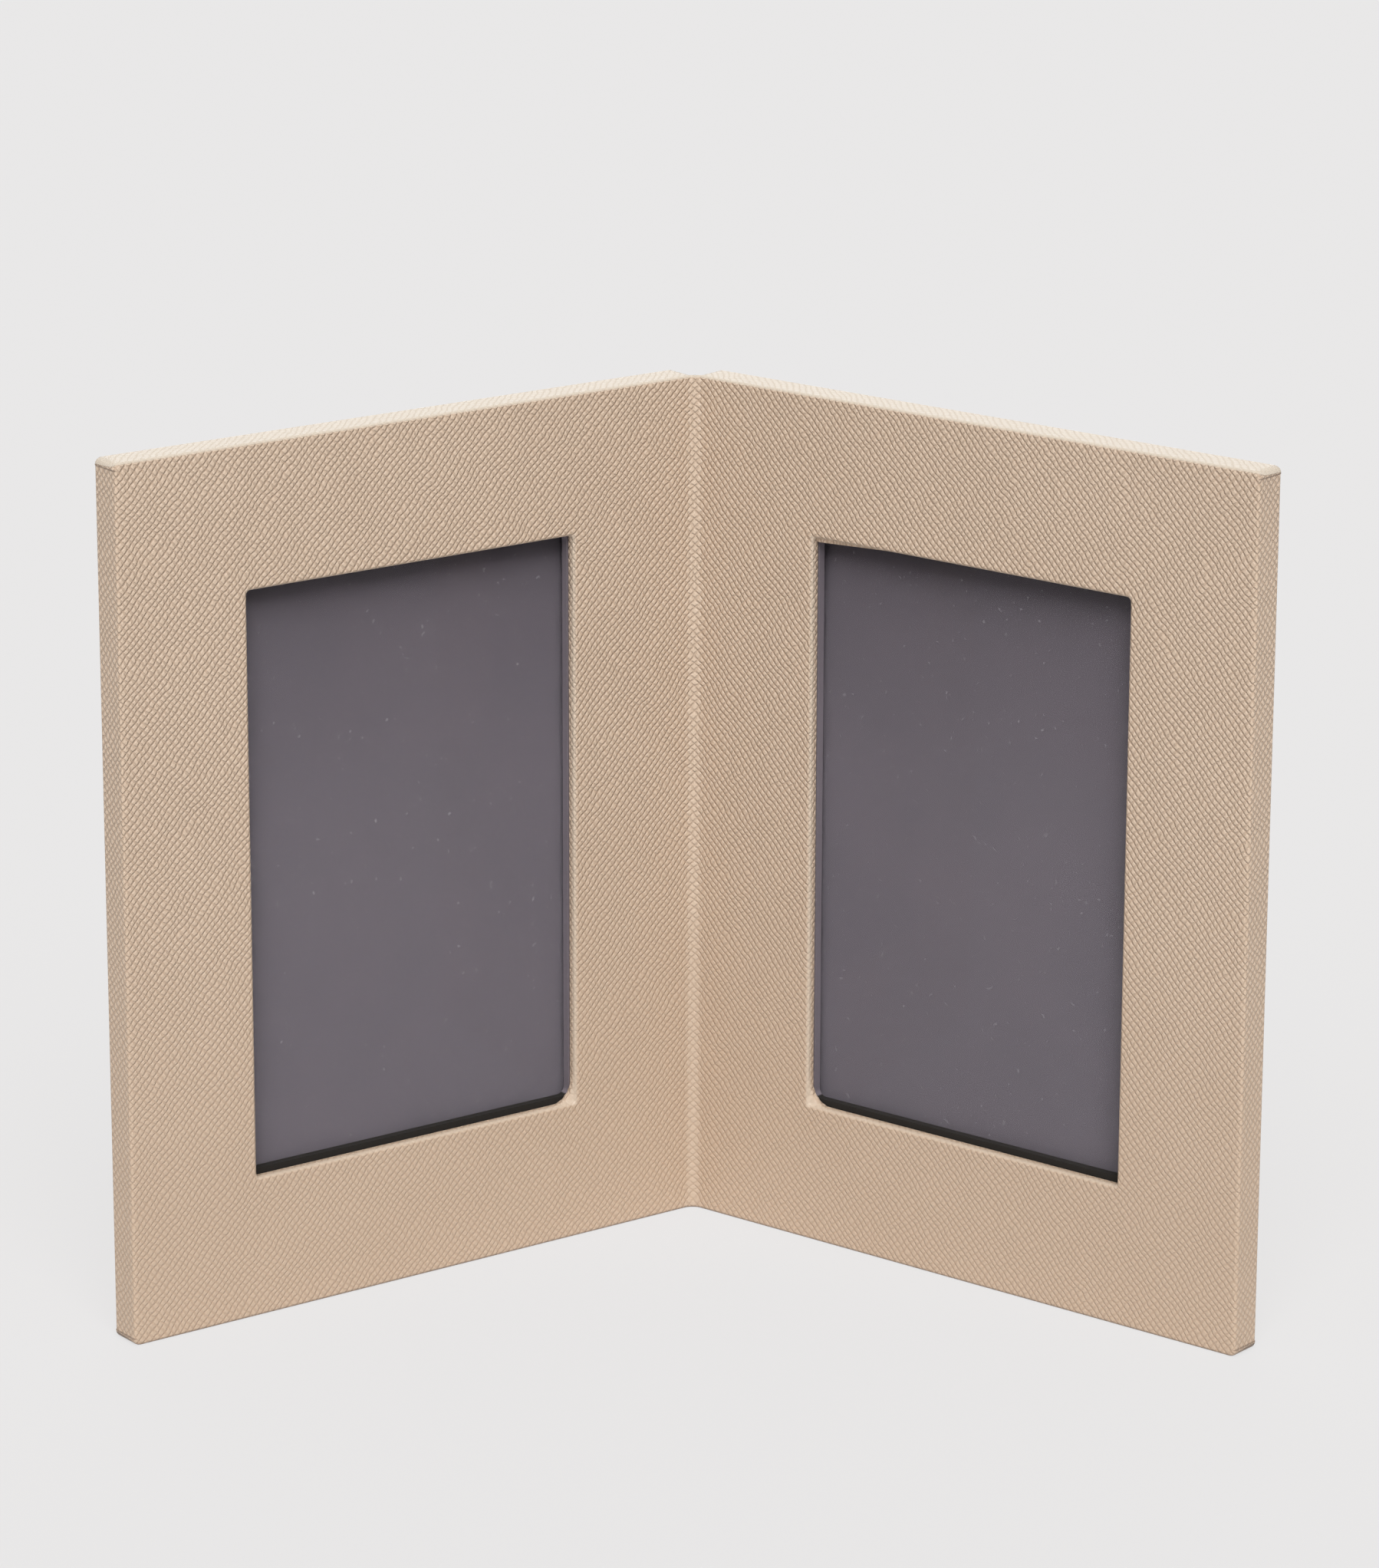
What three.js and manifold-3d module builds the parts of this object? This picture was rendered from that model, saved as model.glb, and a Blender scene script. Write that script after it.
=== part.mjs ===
// A folding double photo frame in cross-grained leather. Two equal leaves stand like an open book.
// Each leaf is a boxed stack of boards round a photo pocket, with a window in its front, and one
// leather covering runs over both fronts and makes the upright fold between them.
// Millimetres, +Z up. The viewer stands at -Y and the fold is the part furthest from the viewer.

import * as THREE from 'three';
import { mergeVertices } from 'three/addons/utils/BufferGeometryUtils.js';
import Module from 'manifold-3d';

const wasm = await Module();
wasm.setup();

// The photo, how much of its edge the window hides, and the leather border round the window
const photoWidth = 101.6;
const photoHeight = 152.4;
const photoOverlap = 4;
const sideBorder = 35;
const topBorder = 35;
const bottomBorder = 35;

// How the two leaves stand and fold
const openingAngle = 104;
const foldGap = 2.4;
const faceClearance = 0.3;

// Thicknesses of the layers, from the front of a leaf to its back
const leatherThickness = 0.7;
const windowBoardThickness = 1.2;
const turnInThickness = 0.5;
const slipThickness = 1.95;
const glazingThickness = 1.2;
const photoSpace = 0.4;
const cardThickness = 0.6;
const rearBoardThickness = 1;
const panelBoardThickness = 0.6;
const panelLeatherThickness = 0.6;
const liningThickness = 0.6;
const glueLine = 0.15;

// Rounded edges and corners
const arrisRadius = 1;
const cornerRadius = 1.6;
const windowCornerRadius = 1.2;
const slipCornerRadius = 2;
const panelArrisRadius = 0.5;
const panelCornerRadius = 1.4;

// Leather folded round an edge and glued down out of sight
const windowTurnIn = 7;
const backTurnIn = 12;
const liningTurnIn = 10;
const mitreGap = 0.4;

// Fits and small set-backs
const pocketClearance = 0.4;
const slipReveal = 0.15;
const slipSill = 1.4;
const seamGap = 0.2;
const panelInset = 1.2;
const cardSetBack = 1;
const cardNotchRadius = 9;

// How finely curves are drawn, and how far a cutter reaches past what it cuts
const arrisSteps = 4;
const cornerSteps = 6;
const notchSteps = 48;
const overrun = 5;

// Sizes that follow from the photo and its border
const windowWidth = photoWidth - 2 * photoOverlap;
const windowHeight = photoHeight - 2 * photoOverlap;
const leafWidth = windowWidth + 2 * sideBorder;
const leafHeight = bottomBorder + windowHeight + topBorder;

// Places across a leaf, measured outwards from the fold line
const hingeEnd = foldGap / 2;
const freeEnd = hingeEnd + leafWidth;
const windowInner = hingeEnd + sideBorder;
const windowOuter = windowInner + windowWidth;
const photoInner = windowInner - photoOverlap;
const photoOuter = windowOuter + photoOverlap;
const boardInner = hingeEnd + liningThickness + glueLine;
const boardOuter = freeEnd - leatherThickness - glueLine;

// Places up a leaf
const windowBottom = bottomBorder;
const windowTop = windowBottom + windowHeight;
const photoBottom = windowBottom - photoOverlap;
const photoTop = windowTop + photoOverlap;
const boardBottom = leatherThickness + glueLine;
const boardTop = leafHeight - leatherThickness - glueLine;
const boardCorner = cornerRadius - leatherThickness;

// Depths behind the fold line, layer by layer
const skinFront = faceClearance;
const skinBack = skinFront + leatherThickness;
const windowBoardFront = skinBack + glueLine;
const windowBoardBack = windowBoardFront + windowBoardThickness;
const turnInFront = windowBoardBack + glueLine;
const turnInBack = turnInFront + turnInThickness;
const slipFront = turnInBack + glueLine;
const slipBack = slipFront + slipThickness;
const glazingFront = slipBack + glueLine;
const glazingBack = glazingFront + glazingThickness;
const cardFront = glazingBack + photoSpace;
const cardBack = cardFront + cardThickness;
const rearBoardFront = cardBack + glueLine;
const rearBoardBack = rearBoardFront + rearBoardThickness;
const backLayerFront = rearBoardBack + glueLine;
const bodyBack = backLayerFront + leatherThickness;
const panelBoardFront = bodyBack + glueLine;
const panelBoardBack = panelBoardFront + panelBoardThickness;
const panelBack = panelBoardBack + glueLine + panelLeatherThickness;

const leather = new THREE.MeshStandardMaterial({ color: 0xc9b196, roughness: 0.62, metalness: 0 });
const board = new THREE.MeshStandardMaterial({ color: 0x8d8578, roughness: 0.95, metalness: 0 });
const blackCard = new THREE.MeshStandardMaterial({ color: 0x1d1b1d, roughness: 0.9, metalness: 0 });
const clearSheet = new THREE.MeshStandardMaterial({
  color: 0xe9eeee,
  roughness: 0.04,
  metalness: 0,
  transparent: true,
  opacity: 0.25,
});

// A closed geometry as a solid that can be joined and cut
function solidOf(geometry) {
  const bare = geometry.clone();
  bare.deleteAttribute('normal');
  bare.deleteAttribute('uv');
  const merged = mergeVertices(bare, 1e-4);
  return new wasm.Manifold(
    new wasm.Mesh({
      numProp: 3,
      vertProperties: new Float32Array(merged.attributes.position.array),
      triVerts: new Uint32Array(merged.index.array),
    }),
  );
}

function geometryOf(solid) {
  const mesh = solid.getMesh();
  const geometry = new THREE.BufferGeometry();
  geometry.setAttribute('position', new THREE.BufferAttribute(new Float32Array(mesh.vertProperties), 3));
  geometry.setIndex(new THREE.BufferAttribute(new Uint32Array(mesh.triVerts), 1));
  return geometry;
}

function cut(geometry, ...tools) {
  return geometryOf(tools.reduce((rest, tool) => rest.subtract(solidOf(tool)), solidOf(geometry)));
}

function join(geometry, ...others) {
  return geometryOf(others.reduce((whole, other) => whole.add(solidOf(other)), solidOf(geometry)));
}

// A rectangle with round corners, in the plane of a leaf
function outline(inner, outer, bottom, top, radius) {
  const shape = new THREE.Shape();
  shape.absarc(outer - radius, bottom + radius, radius, -Math.PI / 2, 0);
  shape.absarc(outer - radius, top - radius, radius, 0, Math.PI / 2);
  shape.absarc(inner + radius, top - radius, radius, Math.PI / 2, Math.PI);
  shape.absarc(inner + radius, bottom + radius, radius, Math.PI, (3 * Math.PI) / 2);
  shape.closePath();
  return shape;
}

// The window's outline, grown outwards by a margin
function windowOutline(margin = 0) {
  return outline(
    windowInner - margin,
    windowOuter + margin,
    windowBottom - margin,
    windowTop + margin,
    windowCornerRadius + margin,
  );
}

// The outline that the boards share, inside the leather
function boardOutline() {
  return outline(boardInner, boardOuter, boardBottom, boardTop, boardCorner);
}

function withHole(shape, hole) {
  shape.holes.push(hole);
  return shape;
}

// A flat layer of a leaf between two depths, with the edges of both faces rounded by arris
function layer(shape, front, back, arris = 0) {
  const geometry = new THREE.ExtrudeGeometry(shape, {
    depth: back - front - 2 * arris,
    bevelEnabled: arris > 0,
    bevelThickness: arris,
    bevelSize: arris,
    bevelOffset: -arris,
    bevelSegments: arrisSteps,
    curveSegments: cornerSteps,
  });
  return geometry.rotateX(Math.PI / 2).translate(0, back - arris, 0);
}

function block(inner, outer, front, back, bottom, top) {
  return new THREE.BoxGeometry(outer - inner, back - front, top - bottom).translate(
    (inner + outer) / 2,
    (front + back) / 2,
    (bottom + top) / 2,
  );
}

// A cutter for the slit between two turned-in strips of leather, which runs outwards from a corner
function mitreSlit(across, up, outwards, upwards, reach, front, back) {
  return block(0, reach * Math.SQRT2, front, back, -mitreGap / 2, mitreGap / 2)
    .rotateY(-Math.atan2(upwards, outwards))
    .translate(across, 0, up);
}

// The window's edge of the leather, folded behind the window board and mitred at the corners
function windowTurnedIn() {
  const ring = layer(
    withHole(
      outline(
        windowInner - windowTurnIn,
        windowOuter + windowTurnIn,
        windowBottom - windowTurnIn,
        windowTop + windowTurnIn,
        mitreGap,
      ),
      windowOutline(leatherThickness / 2),
    ),
    turnInFront,
    turnInBack,
  );
  const slits = [-1, 1].flatMap((outwards) =>
    [-1, 1].map((upwards) =>
      mitreSlit(
        outwards < 0 ? windowInner - leatherThickness : windowOuter + leatherThickness,
        upwards < 0 ? windowBottom - leatherThickness : windowTop + leatherThickness,
        outwards,
        upwards,
        windowTurnIn,
        turnInFront - glueLine,
        turnInBack + glueLine,
      ),
    ),
  );
  return cut(ring, ...slits);
}

// The front leather of one leaf: its face, the window's reveal, and the top, bottom and free edges
// wrapped round the boards and turned in on the back. It stops at the hinge end, where the fold
// begins, and leaves room there for the lining's turn-in.
function frontLeather() {
  const start = hingeEnd - overrun;
  const skin = layer(
    withHole(outline(start, freeEnd, 0, leafHeight, cornerRadius), windowOutline()),
    skinFront,
    bodyBack,
    arrisRadius,
  );
  const inside = layer(
    withHole(
      outline(
        start - overrun,
        freeEnd - leatherThickness,
        leatherThickness,
        leafHeight - leatherThickness,
        boardCorner,
      ),
      windowOutline(leatherThickness),
    ),
    skinBack,
    backLayerFront,
    arrisRadius - leatherThickness,
  );
  const backOpening = block(
    start - overrun,
    freeEnd - backTurnIn,
    turnInBack,
    bodyBack + overrun,
    backTurnIn,
    leafHeight - backTurnIn,
  );
  const pastHingeEnd = block(start - overrun, hingeEnd, 0, bodyBack + overrun, -overrun, leafHeight + overrun);
  const underLining = block(
    start - overrun,
    hingeEnd + liningTurnIn + seamGap,
    backLayerFront - glueLine,
    bodyBack + overrun,
    leatherThickness,
    leafHeight - leatherThickness,
  );
  const backSlits = [-1, 1].map((upwards) =>
    mitreSlit(
      freeEnd - backTurnIn - mitreGap,
      upwards < 0 ? backTurnIn + mitreGap : leafHeight - backTurnIn - mitreGap,
      1,
      upwards,
      backTurnIn - cornerRadius,
      backLayerFront - glueLine,
      bodyBack + glueLine,
    ),
  );
  const body = cut(skin, inside, backOpening, pastHingeEnd, underLining, ...backSlits);
  return join(body, windowTurnedIn());
}

// The stiff board round the window, its opening larger than the window by the leather it holds
function windowBoard() {
  return layer(
    withHole(boardOutline(), windowOutline(leatherThickness + glueLine)),
    windowBoardFront,
    windowBoardBack,
  );
}

// The black slip behind the window's turned-in leather. It shows as a dark line inside the lip and
// as a low black sill at the bottom, where the glazing stands on it.
function windowSlip() {
  const opening = outline(
    windowInner + slipReveal,
    windowOuter - slipReveal,
    windowBottom + slipSill,
    windowTop - slipReveal,
    slipCornerRadius,
  );
  return layer(withHole(boardOutline(), opening), slipFront, slipBack);
}

// The three-sided rail that spaces the boards apart and leaves the pocket open at the hinge end
function pocketRail() {
  const pocket = layer(
    outline(
      boardInner - overrun,
      photoOuter + pocketClearance,
      photoBottom - pocketClearance,
      photoTop + pocketClearance,
      windowCornerRadius,
    ),
    glazingFront - overrun,
    cardBack + overrun,
  );
  return cut(layer(boardOutline(), glazingFront, cardBack), pocket);
}

function glazing() {
  return layer(
    outline(photoInner, photoOuter, photoBottom, photoTop, windowCornerRadius),
    glazingFront,
    glazingBack,
  );
}

// The black card that carries a photo into the pocket, with a finger notch at the hinge end
function carrierCard() {
  const start = boardInner + cardSetBack;
  const card = layer(
    outline(start, photoOuter, photoBottom, photoTop, windowCornerRadius),
    cardFront,
    cardBack,
  );
  const notch = new THREE.CylinderGeometry(
    cardNotchRadius,
    cardNotchRadius,
    cardThickness + 2 * overrun,
    notchSteps,
  ).translate(start, (cardFront + cardBack) / 2, (photoBottom + photoTop) / 2);
  return cut(card, notch);
}

function rearBoard() {
  return layer(boardOutline(), rearBoardFront, rearBoardBack);
}

// The outline of the thin panel that closes the back, drawn in by a margin
function panelOutline(margin = 0) {
  const inset = panelInset + margin;
  return outline(
    hingeEnd + inset,
    freeEnd - inset,
    inset,
    leafHeight - inset,
    panelCornerRadius - margin,
  );
}

function panelBoard() {
  return layer(panelOutline(panelLeatherThickness + glueLine), panelBoardFront, panelBoardBack);
}

// The leather laid over the back panel's board and down round its edges
function panelLeather() {
  const whole = layer(panelOutline(), panelBoardFront - overrun, panelBack, panelArrisRadius);
  const inFront = block(
    hingeEnd - overrun,
    freeEnd + overrun,
    panelBoardFront - 2 * overrun,
    panelBoardFront,
    -overrun,
    leafHeight + overrun,
  );
  const roomForBoard = layer(
    panelOutline(panelLeatherThickness),
    panelBoardFront - overrun,
    panelBoardBack + glueLine,
  );
  return cut(whole, inFront, roomForBoard);
}

// The pieces of the right leaf, laid out from the fold line along +X, front towards -Y
const leafPieces = [
  ['front_leather', frontLeather(), leather],
  ['window_board', windowBoard(), board],
  ['window_slip', windowSlip(), blackCard],
  ['pocket_rail', pocketRail(), board],
  ['glazing', glazing(), clearSheet],
  ['carrier_card', carrierCard(), blackCard],
  ['rear_board', rearBoard(), board],
  ['back_panel_board', panelBoard(), board],
  ['back_panel_leather', panelLeather(), leather],
];

// The left leaf's shape is the right one's mirror image
function mirrored(geometry) {
  const copy = geometryOf(solidOf(geometry)).scale(-1, 1, 1);
  const corners = copy.index.array;
  for (let i = 0; i < corners.length; i += 3) {
    [corners[i], corners[i + 1]] = [corners[i + 1], corners[i]];
  }
  return copy;
}

// Plan of the fold, seen from above, with both leaves at the opening angle
const halfAngle = THREE.MathUtils.degToRad(openingAngle / 2);
const leafTurn = halfAngle - Math.PI / 2;

// A plan point given by how far it lies out along a leaf and how deep behind its front
function planPoint(side, out, depth) {
  return new THREE.Vector2(
    side * (Math.sin(halfAngle) * out + Math.cos(halfAngle) * depth),
    Math.sin(halfAngle) * depth - Math.cos(halfAngle) * out,
  );
}

// Where the planes at one depth behind both fronts meet, on the middle line
function valley(depth) {
  return new THREE.Vector2(0, depth / Math.sin(halfAngle));
}

function curveTo(shape, control, end) {
  shape.quadraticCurveTo(control.x, control.y, end.x, end.y);
}

// The leather of the fold itself, a strip bent into a soft valley between the two fronts
function foldLeather() {
  const edge = hingeEnd - seamGap;
  const shape = new THREE.Shape([planPoint(1, edge, skinBack), planPoint(1, edge, skinFront)]);
  curveTo(shape, valley(skinFront), planPoint(-1, edge, skinFront));
  const leftBack = planPoint(-1, edge, skinBack);
  shape.lineTo(leftBack.x, leftBack.y);
  curveTo(shape, valley(skinBack), planPoint(1, edge, skinBack));
  return new THREE.ExtrudeGeometry(shape, {
    depth: leafHeight,
    bevelEnabled: false,
    curveSegments: cornerSteps,
  });
}

// The lining behind the fold: one strip that covers both hinge ends, is turned in on both backs,
// and has a slot over each pocket for the photo and its card
function foldLining() {
  const near = skinBack + glueLine;
  const edge = hingeEnd - seamGap;
  const inside = [
    [hingeEnd + liningTurnIn, bodyBack - liningThickness],
    [hingeEnd + liningThickness, bodyBack - liningThickness],
    [hingeEnd + liningThickness, near],
    [edge, near],
  ];
  const outside = [
    [hingeEnd, near + liningThickness],
    [hingeEnd, bodyBack],
    [hingeEnd + liningTurnIn, bodyBack],
  ];
  const shape = new THREE.Shape(inside.map(([out, depth]) => planPoint(1, out, depth)));
  curveTo(shape, valley(near), planPoint(-1, edge, near));
  for (const [out, depth] of [...inside.slice(0, -1).reverse(), ...outside.slice().reverse()]) {
    const corner = planPoint(-1, out, depth);
    shape.lineTo(corner.x, corner.y);
  }
  curveTo(shape, valley(near + liningThickness), planPoint(1, ...outside[0]));
  for (const [out, depth] of outside.slice(1)) {
    const corner = planPoint(1, out, depth);
    shape.lineTo(corner.x, corner.y);
  }
  const strip = new THREE.ExtrudeGeometry(shape, {
    depth: boardTop - boardBottom,
    bevelEnabled: false,
    curveSegments: cornerSteps,
  }).translate(0, 0, boardBottom);
  const slot = block(
    hingeEnd - overrun,
    hingeEnd + liningThickness + glueLine,
    glazingBack - glueLine,
    cardBack + glueLine,
    photoBottom - pocketClearance,
    photoTop + pocketClearance,
  );
  return cut(strip, slot.clone().rotateZ(leafTurn), mirrored(slot).rotateZ(-leafTurn));
}

function pieceOf(name, geometry, material) {
  const mesh = new THREE.Mesh(geometry, material);
  mesh.name = name;
  return mesh;
}

const photoFrame = new THREE.Group();
const rightLeaf = new THREE.Group();
const leftLeaf = new THREE.Group();
rightLeaf.rotation.z = leafTurn;
leftLeaf.rotation.z = -leafTurn;
for (const [name, geometry, material] of leafPieces) {
  rightLeaf.add(pieceOf(`right_${name}`, geometry, material));
  leftLeaf.add(pieceOf(`left_${name}`, mirrored(geometry), material));
}
photoFrame.add(
  leftLeaf,
  rightLeaf,
  pieceOf('fold_leather', foldLeather(), leather),
  pieceOf('fold_lining', foldLining(), leather),
);

// The frame stands on the origin's level, with the origin under the middle of its box
const middle = new THREE.Box3().setFromObject(photoFrame, true).getCenter(new THREE.Vector3());
photoFrame.position.y = -middle.y;

export default photoFrame;
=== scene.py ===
"""Looks of a leather double photo frame that stands open like a book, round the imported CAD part.

One leather covering runs over both fronts and through the fold between them. It is drawn flat,
turned round the boards ring by ring, and then bent at the fold, so its grain flows over every edge.
Lengths are millimetres until a point is placed in the object's own frame, which is in metres.
"""

import logging
import math
from collections.abc import Callable, Iterable, Sequence
from dataclasses import dataclass
from enum import Enum

import bmesh
import bpy
from bmesh.types import BMEdge, BMesh, BMVert
from mathutils import Matrix, Vector


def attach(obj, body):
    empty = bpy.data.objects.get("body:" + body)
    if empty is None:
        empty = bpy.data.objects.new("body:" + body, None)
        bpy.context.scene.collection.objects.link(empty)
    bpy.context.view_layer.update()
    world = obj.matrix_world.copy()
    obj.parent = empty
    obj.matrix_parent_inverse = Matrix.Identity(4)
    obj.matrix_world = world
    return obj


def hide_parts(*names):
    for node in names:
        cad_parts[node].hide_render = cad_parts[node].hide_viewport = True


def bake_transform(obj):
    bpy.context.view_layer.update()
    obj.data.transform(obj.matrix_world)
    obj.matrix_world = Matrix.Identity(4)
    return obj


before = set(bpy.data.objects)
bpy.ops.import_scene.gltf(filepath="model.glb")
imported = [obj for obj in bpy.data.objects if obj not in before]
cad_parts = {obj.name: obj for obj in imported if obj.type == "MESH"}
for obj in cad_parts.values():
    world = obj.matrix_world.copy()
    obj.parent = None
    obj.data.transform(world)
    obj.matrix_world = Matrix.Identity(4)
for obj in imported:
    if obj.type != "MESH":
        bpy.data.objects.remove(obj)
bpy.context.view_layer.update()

MM = 0.001
log = logging.getLogger("scene")

Colour = tuple[float, float, float, float]
Socket = bpy.types.NodeSocket


class Side(Enum):
    """One of the two leaves, as seen by the viewer."""

    LEFT = -1
    RIGHT = 1

    @property
    def body(self) -> str:
        """The CAD body that pieces of this leaf ride on."""
        return f"{self.name.lower()}_leaf"

    def piece(self, name: str) -> str:
        """The name of a piece of this leaf."""
        return f"{self.name.lower()}_{name}"


@dataclass(frozen=True)
class Rect:
    """An upright rectangle in the plane of a leaf."""

    left: float
    right: float
    bottom: float
    top: float

    def grown(self, by: float) -> "Rect":
        """The rectangle with every side moved outwards."""
        return Rect(self.left - by, self.right + by, self.bottom - by, self.top + by)

    def nearest(self, x: float, z: float) -> Vector:
        """The point of the rectangle that is nearest to a point."""
        return Vector((min(max(x, self.left), self.right), min(max(z, self.bottom), self.top), 0.0))

    def holds(self, x: float, z: float) -> bool:
        """Whether a point lies inside."""
        return self.left < x < self.right and self.bottom < z < self.top

    def mirrored(self) -> "Rect":
        """The rectangle on the other side of the fold line."""
        return Rect(-self.right, -self.left, self.bottom, self.top)


@dataclass(frozen=True)
class Sizes:
    """The part's stations, out from the fold line and in depth behind the closed fronts' plane."""

    half_angle: float = math.radians(52)
    fold_y: float = 46.934
    hinge_end: float = 1.2
    free_end: float = 164.8
    height: float = 214.4
    window: Rect = Rect(36.2, 129.8, 35.0, 179.4)
    skin_front: float = 0.3
    leather: float = 0.66
    turn_in_back: float = 3.0
    glazing_back: float = 6.45
    card_back: float = 7.45
    body_back: float = 9.4
    lining_back: float = 9.45
    lining_front: float = 1.75
    lining: float = 0.58
    panel_front: float = 9.6
    panel_back: float = 10.95
    panel_leather: float = 0.58
    arris: float = 0.8
    corner: float = 1.6
    window_corner: float = 1.2
    panel_inset: float = 1.2
    panel_arris: float = 0.5
    panel_corner: float = 1.4
    window_turn_in: float = 7.0
    back_turn_in: float = 12.0
    lining_turn_in: float = 10.0
    slot_low: float = 30.6
    slot_high: float = 183.8
    board_low: float = 0.85
    board_high: float = 213.55
    fold_radius: float = 3.0


SIZES = Sizes()


class Plan:
    """Turns places on a leaf, or on the flat covering, into points of the object's frame."""

    def __init__(self, sizes: Sizes) -> None:
        """Works out the bend at the fold.

        Args:
            sizes: The part's stations.
        """
        self.sizes = sizes
        self.sine = math.sin(sizes.half_angle)
        self.cosine = math.cos(sizes.half_angle)
        self.turn = math.pi / 2 - sizes.half_angle
        self.half_bend = sizes.fold_radius * self.turn
        apex = -sizes.skin_front * self.cosine / self.sine
        self.shift = apex + sizes.fold_radius * math.tan(self.turn) - self.half_bend
        self.centre_y = sizes.skin_front / self.sine - sizes.fold_radius / math.cos(self.turn)

    def leaf(self, side: Side, out: float, up: float, depth: float) -> Vector:
        """A point given on a leaf.

        Args:
            side: Which leaf.
            out: Distance out from the fold line.
            up: Height.
            depth: Distance behind the plane where the closed fronts meet.

        Returns:
            The point in the object's frame, in metres.
        """
        x = side.value * (self.sine * out + self.cosine * depth)
        y = self.sine * depth - self.cosine * out + self.sizes.fold_y
        return Vector((x, y, up)) * MM

    def covering(self, along: float, up: float, depth: float) -> Vector:
        """A point given on the flat covering, bent through the fold.

        Args:
            along: Distance along the leather's face from the middle of the fold.
            up: Height.
            depth: Distance behind the plane where the closed fronts meet.

        Returns:
            The point in the object's frame, in metres.
        """
        side = Side.RIGHT if along >= 0 else Side.LEFT
        if abs(along) >= self.half_bend or depth > self.sizes.skin_front + self.sizes.arris + 1e-6:
            return self.leaf(side, abs(along) + self.shift, up, depth)
        radius = self.sizes.fold_radius + depth - self.sizes.skin_front
        angle = along / self.sizes.fold_radius
        y = self.centre_y + radius * math.cos(angle) + self.sizes.fold_y
        return Vector((radius * math.sin(angle), y, up)) * MM


PLAN = Plan(SIZES)


@dataclass(frozen=True)
class Ring:
    """One step of leather as it turns an edge."""

    reach: float  # from the core of the outline, in the plane of the leaf
    depth: float
    run: float  # from the core along the leather, as if it were still flat


def quarter(
    start: Ring, across: float, back: float, steps: int, heading: int = 1, from_face: bool = True
) -> list[Ring]:
    """Rings of a quarter turn.

    Args:
        start: The ring where the turn starts.
        across: Change of reach over the turn.
        back: Change of depth over the turn.
        steps: How many rings.
        heading: 1 if run grows along the leather here, -1 if it falls.
        from_face: True if the turn starts flat, False if it starts along a wall.

    Returns:
        The rings after the start.
    """
    length = math.pi / 4 * (abs(across) + abs(back))
    rings = []
    for step in range(1, steps + 1):
        angle = step / steps * math.pi / 2
        early, late = math.sin(angle), 1 - math.cos(angle)
        reach_share, depth_share = (early, late) if from_face else (late, early)
        rings.append(
            Ring(
                start.reach + across * reach_share,
                start.depth + back * depth_share,
                start.run + heading * length * step / steps,
            )
        )
    return rings


def spread(start: float, end: float, pitch: float) -> list[float]:
    """Even stations from start to end, both included, at most pitch apart."""
    count = max(1, math.ceil(abs(end - start) / pitch))
    return [start + (end - start) * step / count for step in range(count + 1)]


def merged(*groups: Iterable[float]) -> list[float]:
    """Stations of several lists as one, in order, with near doubles left out.

    Args:
        groups: The lists of stations.

    Returns:
        The sorted stations.
    """
    kept: list[float] = []
    for value in sorted(value for group in groups for value in group):
        if not kept or value - kept[-1] > 1e-4:
            kept.append(value)
    return kept


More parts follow.
